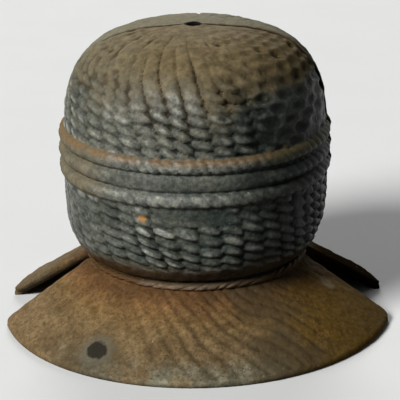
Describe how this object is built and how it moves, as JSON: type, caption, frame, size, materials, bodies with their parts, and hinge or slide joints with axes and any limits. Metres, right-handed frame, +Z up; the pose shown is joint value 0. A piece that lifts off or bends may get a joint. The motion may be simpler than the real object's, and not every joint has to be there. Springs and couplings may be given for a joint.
{
  "type": "string holder",
  "caption": "Cast-iron counter string holder shaped like a ball of twine on a flared foot, in two halves hinged at the neck so that squeezing the feet opens the ball.",
  "frame": {"origin": "on the counter, under the middle of the ball", "axes": "+Z up through the string hole, front casting towards -Y, hinge axis along X"},
  "size_m": [0.1752, 0.18, 0.1363],
  "materials": {
    "casting": "worn black paint over brown rust",
    "pin": "dull, lightly rusted"
  },
  "bodies": {
    "front": {"front_half": "casting", "hinge_pin_left": "pin", "hinge_pin_right": "pin"},
    "rear": {"rear_half": "casting"}
  },
  "joints": [
    {"name": "rear_open", "type": "hinge", "parent": "front", "child": "rear", "pos_m": [0, 0, 0.035], "axis": [-1, 0, 0], "range_deg": [0, 50]}
  ]
}
